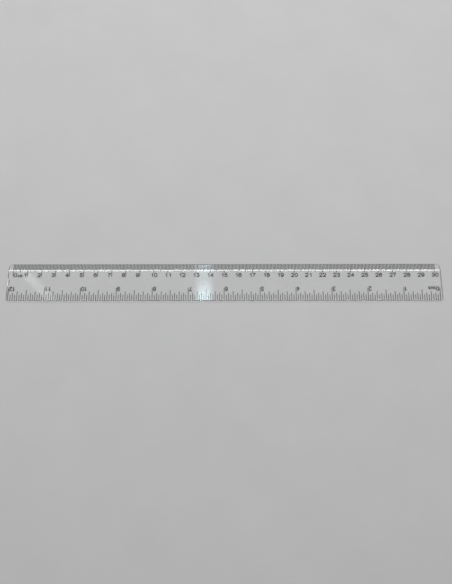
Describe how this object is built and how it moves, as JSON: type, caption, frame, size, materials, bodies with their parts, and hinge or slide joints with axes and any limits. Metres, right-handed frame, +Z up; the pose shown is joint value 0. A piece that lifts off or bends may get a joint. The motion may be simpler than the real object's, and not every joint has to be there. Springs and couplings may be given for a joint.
{
  "type": "clear plastic ruler",
  "caption": "Clear flat ruler with a bevelled centimetre edge and a square inch edge, its scales printed into the underside.",
  "frame": {"origin": "middle of the underside, at half the length and half the width", "axes": "+X along the blade the way the centimetres count, +Y to the bevelled centimetre edge, +Z up out of the top face"},
  "size_m": [0.307, 0.0266, 0.0022],
  "materials": {
    "clear_plastic": "clear colourless moulding, polished, with fine handling scuffs",
    "black_print": "black hot-stamped foil, slightly uneven in density"
  },
  "bodies": {
    "root": {"blade": "clear_plastic", "centimetre_marks": "black_print", "centimetre_numerals": "black_print", "centimetre_unit_label": "black_print", "eighth_inch_marks": "black_print", "half_centimetre_marks": "black_print", "half_inch_marks": "black_print", "inch_marks": "black_print", "inch_numerals": "black_print", "inch_unit_label": "black_print", "millimetre_marks": "black_print", "quarter_inch_marks": "black_print", "sixteenth_inch_marks": "black_print"}
  },
  "joints": []
}
